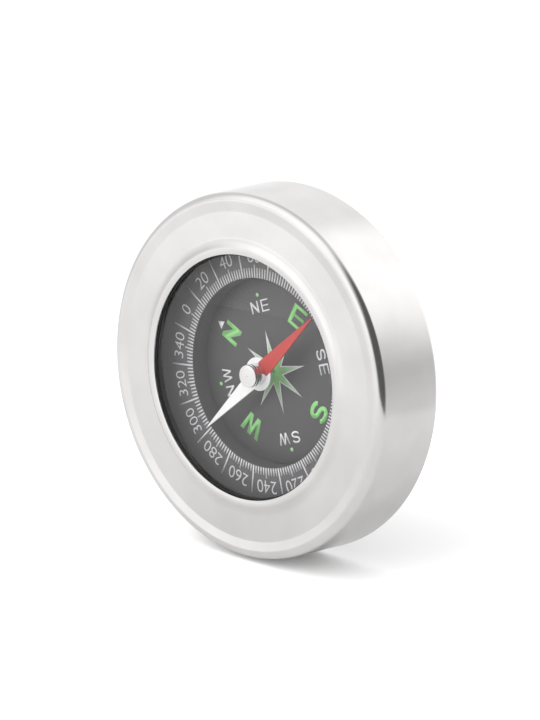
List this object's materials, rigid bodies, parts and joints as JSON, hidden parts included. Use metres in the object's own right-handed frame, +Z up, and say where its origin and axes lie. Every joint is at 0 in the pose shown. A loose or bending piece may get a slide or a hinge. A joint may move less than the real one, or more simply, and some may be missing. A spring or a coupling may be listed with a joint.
{
  "type": "magnetic compass",
  "caption": "Round steel-cased magnetic compass with a stepped degree dial behind a flat lens and a red and white needle that turns freely on a point pivot.",
  "frame": {"origin": "on the surface it stands on, under the middle of the case, with the compass standing on its rim", "axes": "+Z up, the dial faces -Y, the needle turns about Y, +X is to the right of someone facing the dial"},
  "size_m": [0.075, 0.016, 0.075],
  "materials": {
    "steel_case": "satin",
    "clear_lens": "polished",
    "black_rubber": "matte",
    "black_plastic": "matte",
    "ring_print": "matte",
    "dial_print": "matte",
    "pivot_brass": "turned",
    "pivot_steel": "ground",
    "needle_paint": "satin",
    "hub_plating": "polished",
    "jewel": "polished",
    "foam": "matte",
    "felt": "matte"
  },
  "bodies": {
    "case": {"case_shell": "steel_case", "lens_gasket": "black_rubber", "lens": "clear_lens", "spacer_ring": "black_plastic", "scale_ring": "ring_print", "dial_disc": "dial_print", "capsule_cup": "black_plastic", "pivot_seat": "pivot_brass", "pivot_washer": "pivot_steel", "pivot_pin": "pivot_steel", "surround_ring": "black_plastic", "back_cushion": "foam", "back_plate": "black_plastic", "back_pad": "felt"},
    "needle": {"needle_blade": "needle_paint", "needle_hub": "hub_plating", "hub_collar": "hub_plating", "jewel_cup": "jewel"}
  },
  "joints": [
    {"name": "needle_spin", "type": "hinge", "parent": "case", "child": "needle", "pos_m": [0, 0, 0.0375], "axis": [0, 1, 0], "continuous": true}
  ]
}
